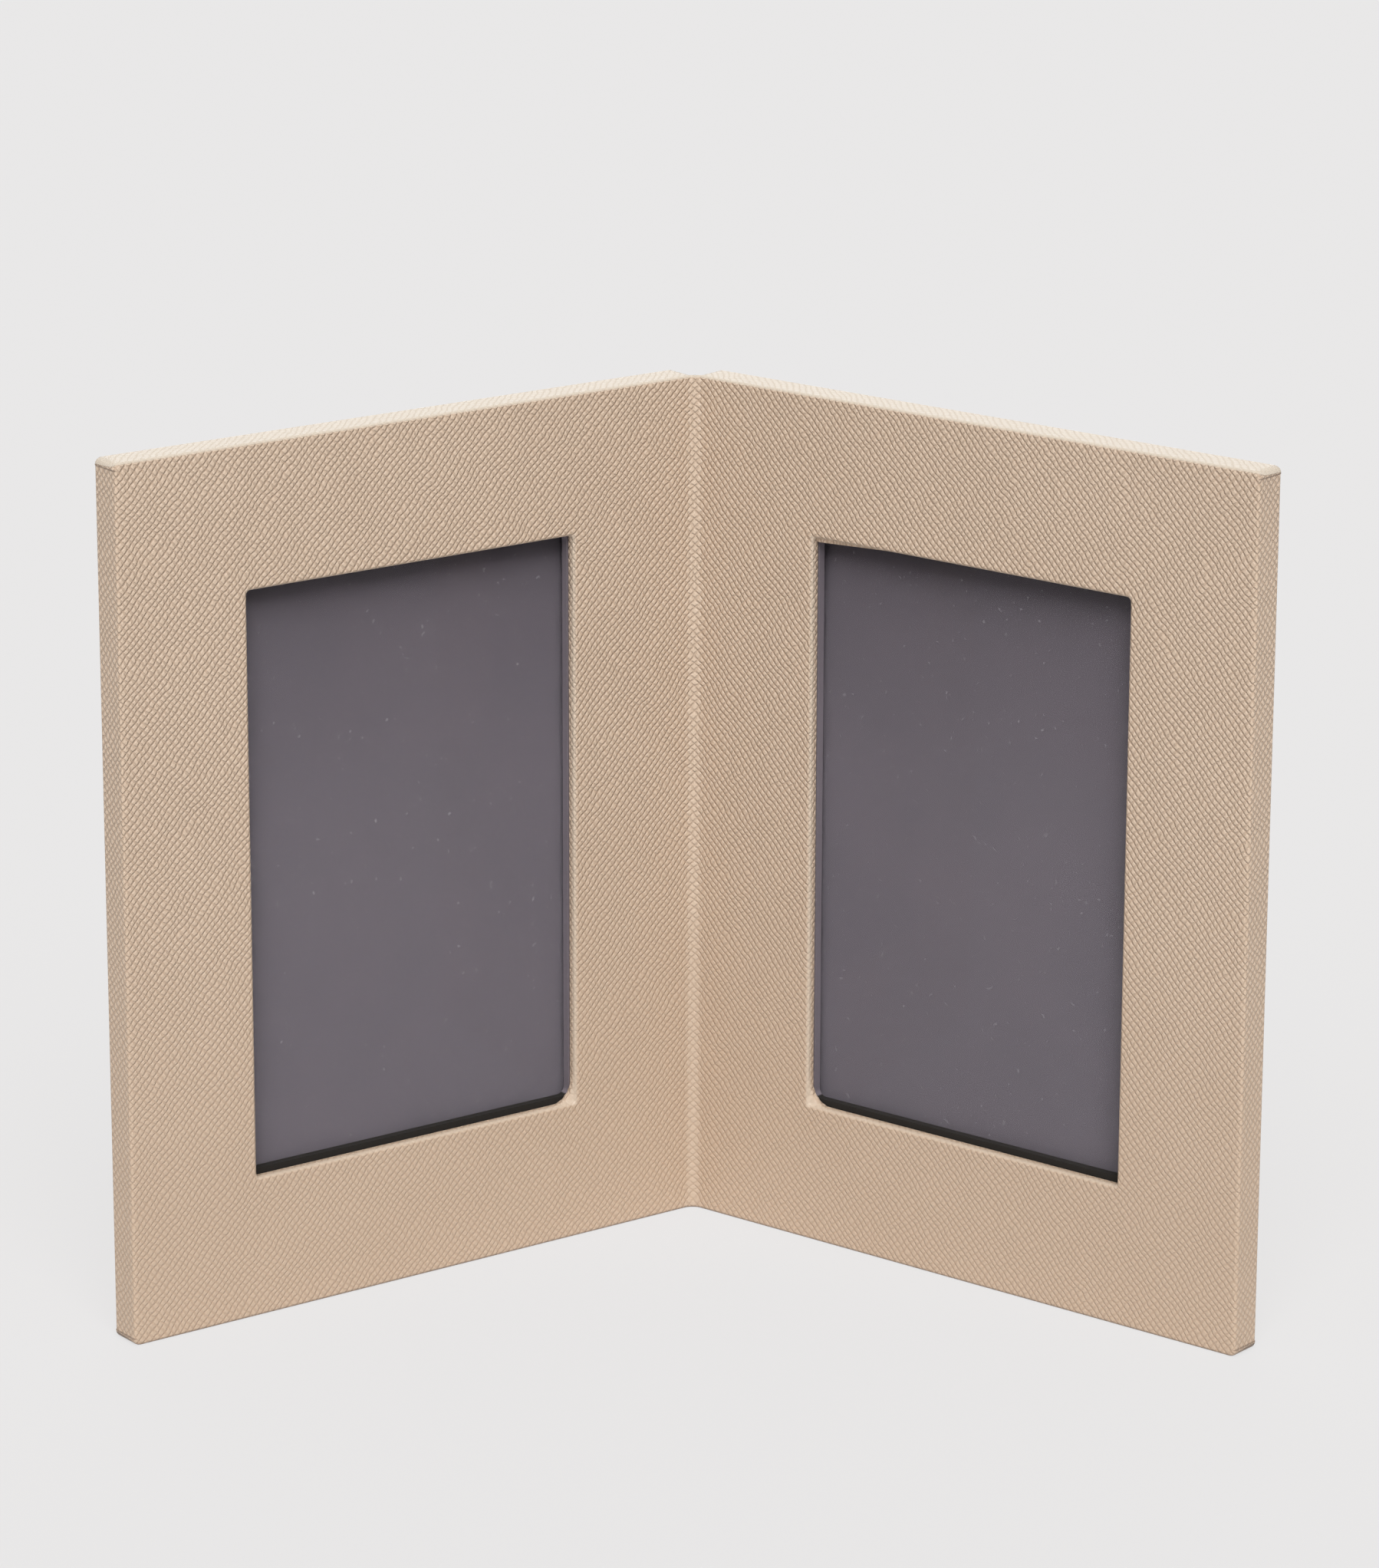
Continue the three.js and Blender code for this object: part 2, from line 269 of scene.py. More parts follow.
class LeatherSheet:
    """Leather drawn flat as a grid and turned round edges ring by ring."""

    def __init__(self, across: Sequence[float], up: Sequence[float], depth: float) -> None:
        """Draws the flat grid.

        Args:
            across: Stations of the upright grid lines.
            up: Stations of the level grid lines.
            depth: Depth of the face.
        """
        self.bm: BMesh = bmesh.new()
        self.base = self.bm.verts.layers.float_vector.new("base")
        self.away = self.bm.verts.layers.float_vector.new("away")
        self.flat = self.bm.verts.layers.float_vector.new("flat")
        columns, rows = len(across) - 1, len(up) - 1
        bmesh.ops.create_grid(self.bm, x_segments=columns, y_segments=rows, size=0.5)
        for vert in self.bm.verts:
            x = across[round((vert.co.x + 0.5) * columns)]
            z = up[round((vert.co.y + 0.5) * rows)]
            vert.co = (x, z, depth)
            vert[self.flat] = (x, z, 0.0)

    def open_hole(self, hole: Rect) -> list[BMEdge]:
        """Takes out the faces inside a rectangle of grid lines.

        Args:
            hole: The rectangle.

        Returns:
            The edges round the hole.
        """
        inside = [f for f in self.bm.faces if hole.holds(*f.calc_center_median().xy)]
        rim = {e for f in inside for e in f.edges}
        bmesh.ops.delete(self.bm, geom=inside, context="FACES")
        return [e for e in rim if e.is_valid and e.is_boundary]

    def outer_edges(self, core: Rect) -> list[BMEdge]:
        """The sheet's own edges outside a rectangle.

        Args:
            core: The rectangle.

        Returns:
            Boundary edges with no end inside it.
        """
        return [
            e for e in self.bm.edges
            if e.is_boundary and not any(core.holds(*v.co.xy) for v in e.verts)
        ]

    def round_corners(self, radius: float, steps: int) -> None:
        """Rounds the four corners of the flat sheet.

        Args:
            radius: The radius in the plane of the sheet.
            steps: Segments of each corner.
        """
        corners = [v for v in self.bm.verts if len(v.link_faces) == 1]
        bmesh.ops.bevel(
            self.bm, geom=corners, affect="VERTICES", offset=radius, segments=steps, profile=0.5,
            material=-1,
        )
        for vert in self.bm.verts:
            vert[self.flat] = (vert.co.x, vert.co.y, 0.0)

    def aim(self, edges: Iterable[BMEdge], core: Rect) -> None:
        """Notes for each vertex of an outline which way is away from the outline's core.

        Args:
            edges: The outline.
            core: The core, which is the outline's rectangle less its corner radius.
        """
        for vert in {v for e in edges for v in e.verts}:
            base = core.nearest(vert.co.x, vert.co.y)
            away = Vector((vert.co.x, vert.co.y, 0.0)) - base
            vert[self.base] = base
            vert[self.away] = away.normalized()

    def turn(self, edges: Sequence[BMEdge], rings: Sequence[Ring]) -> list[BMEdge]:
        """Adds rings of leather from an outline on.

        Args:
            edges: The outline, which has been aimed.
            rings: The steps.

        Returns:
            The edges of the last ring.
        """
        for ring in rings:
            made = bmesh.ops.extrude_edge_only(self.bm, edges=edges)["geom"]
            fresh = {v for v in made if isinstance(v, BMVert)}
            for vert in fresh:
                base, away = vert[self.base], vert[self.away]
                vert.co = base + away * ring.reach + Vector((0.0, 0.0, ring.depth))
                vert[self.flat] = base + away * ring.run
            edges = [e for e in made if isinstance(e, BMEdge) and set(e.verts) <= fresh]
        return list(edges)

    def fold_under(self, edges: Sequence[BMEdge], inner: Rect) -> None:
        """Adds the last flat strip of a turn-in, which ends on a rectangle with mitred corners.

        Args:
            edges: The outline that the strip starts from.
            inner: The rectangle where it ends.
        """
        made = bmesh.ops.extrude_edge_only(self.bm, edges=edges)["geom"]
        fresh = [v for v in made if isinstance(v, BMVert)]
        for vert in fresh:
            end = inner.nearest(vert.co.x, vert.co.y)
            width = (Vector((vert.co.x, vert.co.y, 0.0)) - end).length
            vert[self.flat] = Vector(vert[self.flat]) + Vector(vert[self.away]) * width
            vert.co = (end.x, end.y, vert.co.z)
        bmesh.ops.remove_doubles(self.bm, verts=fresh, dist=1e-4)

    def finish(self, name: str, place: Callable[[Vector], Vector], front: Vector,
               thickness: float) -> bpy.types.Object:
        """Places the sheet in the object's frame and makes it a piece with real thickness.

        Args:
            name: The piece's name.
            place: Gives the point in the object's frame for a place across, up and in depth.
            front: The side that the sheet's first face looks to.
            thickness: How thick the leather is.

        Returns:
            The piece.
        """
        bm = self.bm
        grid = bm.loops.layers.uv.new("flat")
        for face in bm.faces:
            face.smooth = True
            for loop in face.loops:
                loop[grid].uv = Vector(loop.vert[self.flat]).xy * MM
        for vert in bm.verts:
            vert.co = place(vert.co.copy())
        bm.normal_update()
        bm.faces.ensure_lookup_table()
        if bm.faces[0].normal.dot(front) < 0:
            bmesh.ops.reverse_faces(bm, faces=bm.faces[:])
        mesh = bpy.data.meshes.new(name)
        bm.to_mesh(mesh)
        bm.free()
        piece = bpy.data.objects.new(name, mesh)
        bpy.context.scene.collection.objects.link(piece)
        body = piece.modifiers.new("thickness", "SOLIDIFY")
        body.thickness = thickness * MM
        body.offset = -1.0
        smooth = piece.modifiers.new("normals", "WEIGHTED_NORMAL")
        smooth.keep_sharp = True
        smooth.weight = 60
        return piece


class Nodes:
    """A small hand for laying out a node tree."""

    def __init__(self, tree: bpy.types.NodeTree) -> None:
        """Starts on an empty tree."""
        self.tree = tree
        tree.nodes.clear()

    def add(self, kind: str, values: dict | None = None, **settings: object) -> bpy.types.Node:
        """Adds a node.

        Args:
            kind: The node's type.
            values: Inputs by name or number, each a constant or a socket to link from.
            settings: The node's own properties.

        Returns:
            The node.
        """
        node = self.tree.nodes.new(kind)
        for name, value in settings.items():
            setattr(node, name, value)
        for key, value in (values or {}).items():
            if isinstance(value, Socket):
                self.tree.links.new(value, node.inputs[key])
            else:
                node.inputs[key].default_value = value
        return node

    def math(self, operation: str, a: object, b: object = 0.0, c: object = 0.0) -> Socket:
        """Adds a maths node."""
        return self.add("ShaderNodeMath", {0: a, 1: b, 2: c}, operation=operation).outputs[0]

    def noise(self, vector: object, size: float, detail: float = 3.0, rough: float = 0.5) -> Socket:
        """Adds noise whose lumps have a real size in millimetres."""
        values = {"Vector": vector, "Scale": 1 / (size * MM), "Detail": detail, "Roughness": rough}
        return self.add("ShaderNodeTexNoise", values).outputs[0]

    def wander(self, vector: object, size: float, detail: float, by: float) -> Socket:
        """Adds a shift in metres that comes from noise and is near zero on average."""
        lumps = self.noise(vector, size, detail)
        return self.math("MULTIPLY_ADD", lumps, by * MM, -by * MM / 2)

    def ramp(
        self, value: object, low: float, high: float, out_low: float = 0.0, out_high: float = 1.0
    ) -> Socket:
        """Maps a value smoothly from one range to another.

        Args:
            value: The value's socket.
            low: Where the change starts.
            high: Where it ends.
            out_low: The result up to low.
            out_high: The result from high on.

        Returns:
            The result's socket.
        """
        values = {
            "Value": value, "From Min": low, "From Max": high, "To Min": out_low, "To Max": out_high
        }
        return self.add("ShaderNodeMapRange", values, interpolation_type="SMOOTHSTEP").outputs[0]

    def fade(self, distance: object, near: float, far: float, strength: float = 1.0) -> Socket:
        """A mask at full strength up to near and gone at far, both in millimetres."""
        return self.ramp(distance, near * MM, far * MM, strength, 0.0)

    def mix(self, share: object, a: object, b: object) -> Socket:
        """Mixes two colours."""
        node = self.add("ShaderNodeMix", {0: share, 6: a, 7: b}, data_type="RGBA")
        return node.outputs[2]


def linear(red: int, green: int, blue: int) -> Colour:
    """A colour as the shaders take it.

    Args:
        red: 0 to 255, as on a screen.
        green: 0 to 255, as on a screen.
        blue: 0 to 255, as on a screen.

    Returns:
        The linear colour with full alpha.
    """
    parts = [c / 255 for c in (red, green, blue)]
    parts = [c / 12.92 if c <= 0.04045 else ((c + 0.055) / 1.055) ** 2.4 for c in parts]
    return (parts[0], parts[1], parts[2], 1.0)


def new_group(
    name: str, inputs: dict[str, str], outputs: dict[str, str]
) -> tuple[bpy.types.NodeTree, Nodes]:
    """Starts a node group.

    Args:
        name: The group's name.
        inputs: Socket names and their types.
        outputs: Socket names and their types.

    Returns:
        The group and a hand for filling it.
    """
    group = bpy.data.node_groups.new(name, "ShaderNodeTree")
    for label, kind in inputs.items():
        group.interface.new_socket(label, in_out="INPUT", socket_type=kind)
    for label, kind in outputs.items():
        group.interface.new_socket(label, in_out="OUTPUT", socket_type=kind)
    return group, Nodes(group)


@dataclass(frozen=True)
class Grain:
    """Measures of the pressed grain, in millimetres and degrees."""

    pitch: float = 1.41
    slant: float = 44.0  # degrees
    # Lump size, octaves and span of the slow wavering
    sway: tuple[float, float, float] = (12.0, 2.0, 2.4)
    shake: tuple[float, float, float] = (2.4, 1.0, 0.8)  # the same for the fine wavering
    cross: float = 3.0  # where the stronger family changes sides, out from the fold
    weak: float = 0.66  # strength of the weaker family
    gain: float = 0.3  # what the stronger family has more


def cross_grain(grain: Grain) -> bpy.types.NodeTree:
    """The pressed grain: two families of wavering grooves that cross and leave beads between them.

    Args:
        grain: The grain's measures.

    Returns:
        The group. It puts out the height of the leather, a mask of its pits and one of its beads.
    """
    group, nodes = new_group(
        "Cross grain",
        {"Flat": "NodeSocketVector"},
        {"Height": "NodeSocketFloat", "Pits": "NodeSocketFloat", "Beads": "NodeSocketFloat"},
    )
    flat = nodes.add("NodeGroupInput").outputs["Flat"]
    parts = nodes.add("ShaderNodeSeparateXYZ", {0: flat})
    across, up = parts.outputs[0], parts.outputs[1]
    slant = math.radians(grain.slant)
    families = []
    for lean, offset in ((1, 0.0), (-1, 0.31)):
        moved = nodes.add(
            "ShaderNodeVectorMath", {0: flat, 1: (offset, 0.17, 0.0)}, operation="ADD"
        )
        place = moved.outputs[0]
        waver = nodes.math(
            "ADD", nodes.wander(place, *grain.sway), nodes.wander(place, *grain.shake)
        )
        along = nodes.math("MULTIPLY", across, lean * math.cos(slant))
        level = nodes.math("MULTIPLY_ADD", up, math.sin(slant), along)
        turns = nodes.math(
            "MULTIPLY", nodes.math("ADD", level, waver), math.pi / (grain.pitch * MM)
        )
        wave = nodes.math("ABSOLUTE", nodes.math("SINE", turns))
        families.append(nodes.ramp(wave, 0.0, 0.85))
    leaf = nodes.ramp(across, -grain.cross * MM, grain.cross * MM, 0.15, 0.85)
    faint = [
        nodes.math("MULTIPLY_ADD", share, grain.gain, grain.weak)
        for share in (leaf, nodes.math("SUBTRACT", 1.0, leaf))
    ]
    cuts = [
        nodes.math("MULTIPLY", nodes.math("SUBTRACT", 1.0, family), weight)
        for family, weight in zip(families, faint)
    ]
    crossed = nodes.math(
        "MULTIPLY", nodes.math("SUBTRACT", 1.0, cuts[0]), nodes.math("SUBTRACT", 1.0, cuts[1])
    )
    pores = nodes.noise(flat, 0.42, 2.0, 0.6)
    soft = nodes.noise(flat, 2.6, 2.0)
    height = nodes.math(
        "MULTIPLY_ADD", pores, 0.22, nodes.math("MULTIPLY_ADD", soft, 0.35, crossed)
    )
    pits = nodes.math("MULTIPLY", cuts[0], cuts[1])
    values = {"Height": height, "Pits": pits, "Beads": crossed}
    nodes.add("NodeGroupOutput", values)
    return group


def mottle() -> bpy.types.NodeTree:
    """Slow changes of tone over a surface, and fine specks.

    Returns:
        The group. It puts out a slow mask and a speck mask.
    """
    group, nodes = new_group(
        "Mottle",
        {"Place": "NodeSocketVector"},
        {"Slow": "NodeSocketFloat", "Specks": "NodeSocketFloat"},
    )
    place = nodes.add("NodeGroupInput").outputs["Place"]
    slow = nodes.ramp(nodes.noise(place, 38.0, 3.0), 0.3, 0.7)
    specks = nodes.ramp(nodes.noise(place, 1.1, 0.0), 0.80, 0.84)
    nodes.add("NodeGroupOutput", {"Slow": slow, "Specks": specks})
    return group


@dataclass(frozen=True)
class WearAndPaintedLight:
    """How far wear, painted highlights and painted shade reach, in millimetres from near to far,
    and how strong they are.
    """

    fold: tuple[float, float] = (0.5, 3.6)  # out from the middle of the fold
    fold_share: float = 0.12
    lip: tuple[float, float] = (0.1, 0.7)  # painted highlight on a window's lip, outwards from its edge
    reveal: tuple[float, float] = (-1.1, -0.5)  # where it starts inside the window
    lip_share: float = 0.42
    top: tuple[float, float] = (0.7, 0.1)  # painted sheen, below the top edge
    lap: float = 1.75  # the lap's seam on the end faces, from the top and bottom
    seam: tuple[float, float] = (0.08, 0.26)  # painted shade beside that seam
    foot: tuple[float, float] = (0.1, 0.9)  # painted shade, up from the bottom edge
    handled: tuple[float, float] = (20.0, 150.0)  # painted shade and flatter grain, up from the bottom edge


class NodeGroups:
    """The effects that several finishes share."""

    def __init__(self) -> None:
        """Builds every group once."""
        self.grain = cross_grain(Grain())
        self.mottle = mottle()
        self.pressed = pressed(SIZES, WearAndPaintedLight())


def new_material(name: str) -> tuple[bpy.types.Material, Nodes]:
    """Starts a material.

    Args:
        name: The material's name.

    Returns:
        The material and a hand for its nodes.
    """
    material = bpy.data.materials.new(name)
    material.use_nodes = True
    return material, Nodes(material.node_tree)


def mottled(nodes: Nodes, groups: NodeGroups) -> tuple[Socket, bpy.types.Node]:
    """Adds the object's own coordinates and the slow mottle over them."""
    place = nodes.add("ShaderNodeTexCoord").outputs["Object"]
    return place, nodes.add("ShaderNodeGroup", {"Place": place}, node_tree=groups.mottle)


def pressed(sizes: Sizes, wear: WearAndPaintedLight) -> bpy.types.NodeTree:
    """Where the leather is worn and where light is painted on it: worn at the fold, painted
    highlight on the lips, painted sheen on the top, painted shade at the foot and seams.

    Args:
        sizes: The part's stations.
        wear: How far the wear and the painted light reach.

    Returns:
        The group. It puts out a mask of wear and painted highlight, one of painted shade, and one
        of painted shade with flatter grain towards the bottom.
    """
    group, nodes = new_group(
        "Rubbed leather",
        {"Flat": "NodeSocketVector", "Front": "NodeSocketFloat"},
        {"Rubbed": "NodeSocketFloat", "Soiled": "NodeSocketFloat", "Handled": "NodeSocketFloat"},
    )
    given = nodes.add("NodeGroupInput").outputs
    parts = nodes.add("ShaderNodeSeparateXYZ", {0: given["Flat"]})
    out, up = nodes.math("ABSOLUTE", parts.outputs[0]), parts.outputs[1]
    fold = nodes.fade(out, *wear.fold, wear.fold_share)
    window = sizes.window
    half_wide, half_high = (window.right - window.left) / 2, (window.top - window.bottom) / 2
    past = []
    for place, middle, half in (
        (out, window.left - PLAN.shift + half_wide, half_wide),
        (up, window.bottom + half_high, half_high),
    ):
        off = nodes.math("ABSOLUTE", nodes.math("SUBTRACT", place, middle * MM))
        past.append(nodes.math("SUBTRACT", off, half * MM))
    outside = nodes.math("MAXIMUM", *past)
    lip = nodes.math(
        "MULTIPLY",
        nodes.fade(outside, *wear.lip, wear.lip_share),
        nodes.ramp(outside, wear.reveal[0] * MM, wear.reveal[1] * MM),
    )
    middle = sizes.height / 2
    high = nodes.math("ABSOLUTE", nodes.math("SUBTRACT", up, middle * MM))
    line = nodes.math("ABSOLUTE", nodes.math("SUBTRACT", high, (middle - wear.lap) * MM))
    end = (sizes.free_end - PLAN.shift - 0.5) * MM
    seam = nodes.math(
        "MULTIPLY", nodes.fade(line, *wear.seam), nodes.ramp(out, end, end + 0.3 * MM)
    )
    # Painted shade along the bottom edge and beside the laps' seams
    painted_shade = nodes.math("MAXIMUM", nodes.fade(up, *wear.foot), seam)
    top_low, top_high = ((sizes.height - below) * MM for below in wear.top)
    top = nodes.ramp(up, top_low, top_high)
    # Darker towards the bottom as a painted shade; the grain is also flatter there
    handled = nodes.fade(up, *wear.handled)
    # The fold is worn; the lips get a painted highlight and the top edge a painted sheen
    front = nodes.math("MULTIPLY", nodes.math("MAXIMUM", fold, lip), given["Front"])
    rubbed = nodes.math("MAXIMUM", front, top)
    nodes.add("NodeGroupOutput", {"Rubbed": rubbed, "Soiled": painted_shade, "Handled": handled})
    return group


@dataclass(frozen=True)
class LeatherFinish:
    """Pale tan leather with a cross grain."""

    name: str
    body: Colour = linear(194, 170, 148)
    deep: Colour = linear(170, 145, 122)  # painted shade in the grain's pits and towards the bottom, also the mottle's darker tone
    high: Colour = linear(209, 188, 166)  # painted highlight on the beads
    # worn fold, painted highlight on the lips and painted sheen on the top edge
    rubbed: Colour = linear(207, 196, 180)
    shade_tint: Colour = linear(120, 100, 86)  # painted shade along the bottom edge and beside the laps' seams
    relief: float = 0.36  # depth of the grain in millimetres
    roughness: float = 0.34  # of the beads
    front: float = 1.0  # 1 on the covering, whose fold is worn and whose lips get a painted highlight

    def build(self, groups: NodeGroups) -> bpy.types.Material:
        """Makes the material.

        Args:
            groups: The shared effects.

        Returns:
            The material.
        """
        material, nodes = new_material(self.name)
        flat = nodes.add("ShaderNodeUVMap", uv_map="flat").outputs[0]
        grain = nodes.add("ShaderNodeGroup", {"Flat": flat}, node_tree=groups.grain)
        tone = nodes.add("ShaderNodeGroup", {"Place": flat}, node_tree=groups.mottle)
        press = nodes.add(
            "ShaderNodeGroup", {"Flat": flat, "Front": self.front}, node_tree=groups.pressed
        )
        rubbed = press.outputs["Rubbed"]
        colour: object = self.body
        # Beads get a painted highlight and pits a painted shade; the slow mottle is tone; then come
        # wear with painted highlight and sheen, and painted shade
        for mask, share, tint in (
            (grain.outputs["Beads"], 0.8, self.high),
            (grain.outputs["Pits"], 0.8, self.deep),
            (tone.outputs["Slow"], 0.08, self.deep),
            (press.outputs["Handled"], 0.28, self.deep),
            (rubbed, 0.85, self.rubbed),
            (press.outputs["Soiled"], 0.7, self.shade_tint),
        ):
            colour = nodes.mix(nodes.math("MULTIPLY", mask, share), colour, tint)
        rough = nodes.ramp(grain.outputs["Beads"], 0.1, 0.9, self.roughness + 0.25, self.roughness)
        worn = nodes.math("MULTIPLY_ADD", press.outputs["Handled"], -0.5, 1.0)
        depth = nodes.math("MULTIPLY_ADD", rubbed, -0.8, worn)
        height = nodes.math("MULTIPLY", grain.outputs["Height"], depth)
        bump = nodes.add("ShaderNodeBump", {"Height": height, "Distance": self.relief * MM})
        shader = nodes.add(
            "ShaderNodeBsdfPrincipled",
            {
                "Base Color": colour, "Roughness": rough, "Normal": bump.outputs[0],
                "Specular IOR Level": 0.45,
            },
        )
        nodes.add("ShaderNodeOutputMaterial", {"Surface": shader.outputs[0]})
        return material


@dataclass(frozen=True)
class GreyboardFinish:
    """Grey bookbinder's board with pressed fibres."""

    name: str = "greyboard"
    body: Colour = linear(150, 142, 130)
    fibre: Colour = linear(122, 114, 102)

    def build(self, groups: NodeGroups) -> bpy.types.Material:
        """Makes the material.

        Args:
            groups: The shared effects.

        Returns:
            The material.
        """
        material, nodes = new_material(self.name)
        place, tone = mottled(nodes, groups)
        fibres = nodes.ramp(nodes.noise(place, 0.7, 5.0, 0.7), 0.4, 0.65)
        colour = nodes.mix(nodes.math("MULTIPLY", fibres, 0.5), self.body, self.fibre)
        colour = nodes.mix(nodes.math("MULTIPLY", tone.outputs["Specks"], 0.6), colour, self.fibre)
        bump = nodes.add("ShaderNodeBump", {"Height": fibres, "Distance": 0.03 * MM})
        values = {"Base Color": colour, "Roughness": 0.95, "Normal": bump.outputs[0]}
        shader = nodes.add("ShaderNodeBsdfPrincipled", values)
        nodes.add("ShaderNodeOutputMaterial", {"Surface": shader.outputs[0]})
        return material


@dataclass(frozen=True)
class BlackCardFinish:
    """Matt dark card with a fine tooth, which can be darkened below a sill as a painted shade."""

    name: str
    body: Colour
    worn: Colour
    sill: float = 0.0  # height in metres below which it is dark, a painted shade
    black: Colour = linear(24, 20, 16)

    def build(self, groups: NodeGroups) -> bpy.types.Material:
        """Makes the material.

        Args:
            groups: The shared effects.

        Returns:
            The material.
        """
        material, nodes = new_material(self.name)
        place, tone = mottled(nodes, groups)
        tooth = nodes.noise(place, 0.35, 3.0)
        colour = nodes.mix(tone.outputs["Slow"], self.body, self.worn)
        height = nodes.add("ShaderNodeSeparateXYZ", {0: place}).outputs[2]
        # Below the sill height the card turns dark: a painted shade
        below = nodes.ramp(height, self.sill - 0.3 * MM, self.sill, 1.0, 0.0)
        colour = nodes.mix(below, colour, self.black)
        bump = nodes.add("ShaderNodeBump", {"Height": tooth, "Distance": 0.004 * MM})
        values = {"Base Color": colour, "Roughness": 0.9, "Normal": bump.outputs[0]}
        shader = nodes.add("ShaderNodeBsdfPrincipled", values)
        nodes.add("ShaderNodeOutputMaterial", {"Surface": shader.outputs[0]})
        return material


@dataclass(frozen=True)
class GlazingFinish:
    """Clear sheet that mirrors little, with a thin pale film that grows downwards as a painted
    reflection, and specks of dust.
    """

    name: str = "glazing"
    # colour of the painted reflection
    reflection_tint: Colour = linear(196, 190, 200)
    dust: Colour = linear(214, 212, 212)
    index: float = 1.1  # low, because the sheet shows no mirror image
    reflection_low: float = 0.105  # metres up, full painted reflection below
    reflection_high: float = 0.185  # no painted reflection above
    reflection_share: float = 0.032
    dust_share: float = 0.12

    def build(self, groups: NodeGroups) -> bpy.types.Material:
        """Makes the material.

        Args:
            groups: The shared effects.

        Returns:
            The material.
        """
        material, nodes = new_material(self.name)
        place, tone = mottled(nodes, groups)
        height = nodes.add("ShaderNodeSeparateXYZ", {0: place}).outputs[2]
        rough = nodes.ramp(tone.outputs["Slow"], 0.0, 1.0, 0.0, 0.02)
        clear = nodes.add(
            "ShaderNodeBsdfPrincipled",
            {"Roughness": rough, "Transmission Weight": 1.0, "IOR": self.index},
        )
        # A pale diffuse film mixed in towards the bottom: a painted reflection
        reflection_film = nodes.add("ShaderNodeBsdfDiffuse", {"Color": self.reflection_tint})
        grown = nodes.ramp(height, self.reflection_low, self.reflection_high, self.reflection_share, 0.0)
        reflected = nodes.add(
            "ShaderNodeMixShader", {0: grown, 1: clear.outputs[0], 2: reflection_film.outputs[0]}
        )
        specks = nodes.add("ShaderNodeBsdfDiffuse", {"Color": self.dust})
        share = nodes.math("MULTIPLY", tone.outputs["Specks"], self.dust_share)
        sheet = nodes.add(
            "ShaderNodeMixShader", {0: share, 1: reflected.outputs[0], 2: specks.outputs[0]}
        )
        through = nodes.add("ShaderNodeBsdfTransparent")
        light = nodes.add("ShaderNodeLightPath").outputs["Is Shadow Ray"]
        shown = nodes.add(
            "ShaderNodeMixShader", {0: light, 1: sheet.outputs[0], 2: through.outputs[0]}
        )
        nodes.add("ShaderNodeOutputMaterial", {"Surface": shown.outputs[0]})
        return material


def seen_directly(nodes: Nodes) -> Socket:
    """Tells rays that show a surface, straight, mirrored or through glass, from other rays.

    Args:
        nodes: The tree's hand.

    Returns:
        A socket that is 1 for such rays.
    """
    path = nodes.add("ShaderNodeLightPath").outputs
    straight = nodes.math("MAXIMUM", path["Is Camera Ray"], path["Is Glossy Ray"])
    return nodes.math("MAXIMUM", straight, path["Is Transmission Ray"])


@dataclass(frozen=True)
class FloorFinish:
    """A pale studio floor that keeps a faint shadow."""

    name: str = "floor_paper"
    paper: Colour = linear(230, 229, 229)
    shown: Colour = linear(231, 230, 230)  # what it glows with where it is seen
    glow: float = 0.86  # how much of what is seen is that glow

    def build(self) -> bpy.types.Material:
        """Makes the material.

        Returns:
            The material.
        """
        material, nodes = new_material(self.name)
        paper = nodes.add("ShaderNodeBsdfDiffuse", {"Color": self.paper})
        lit = nodes.add("ShaderNodeEmission", {"Color": self.shown, "Strength": 1.0})
        share = nodes.math("MULTIPLY", seen_directly(nodes), self.glow)
        shown = nodes.add("ShaderNodeMixShader", {0: share, 1: paper.outputs[0], 2: lit.outputs[0]})
        nodes.add("ShaderNodeOutputMaterial", {"Surface": shown.outputs[0]})
        return material


class Finishes:
    """Every material of the scene."""

    def __init__(self) -> None:
        """Builds the materials."""
        groups = NodeGroups()
        sill = (SIZES.window.bottom + 2.0) * MM
        carrier = BlackCardFinish("carrier_card", linear(88, 82, 89), linear(91, 84, 91))
        # The slip's grey is lighter than the carrier's, painted light against the shade on its
        # walls, and dark below the sill as a painted shade
        slip = BlackCardFinish("slip_card", linear(112, 104, 111), linear(116, 108, 115), sill)
        self.leather = LeatherFinish("leather").build(groups)
        self.lining = LeatherFinish("lining_leather", relief=0.05, front=0.0).build(groups)
        self.back = LeatherFinish("back_leather", front=0.0).build(groups)
        self.greyboard = GreyboardFinish().build(groups)
        self.carrier = carrier.build(groups)
        self.slip = slip.build(groups)
        self.glazing = GlazingFinish().build(groups)
        self.floor = FloorFinish().build()


def dress(piece: bpy.types.Object, material: bpy.types.Material) -> None:
    """Gives a piece its material.

    Args:
        piece: The piece.
        material: The material.
    """
    piece.data.materials.clear()
    piece.data.materials.append(material)


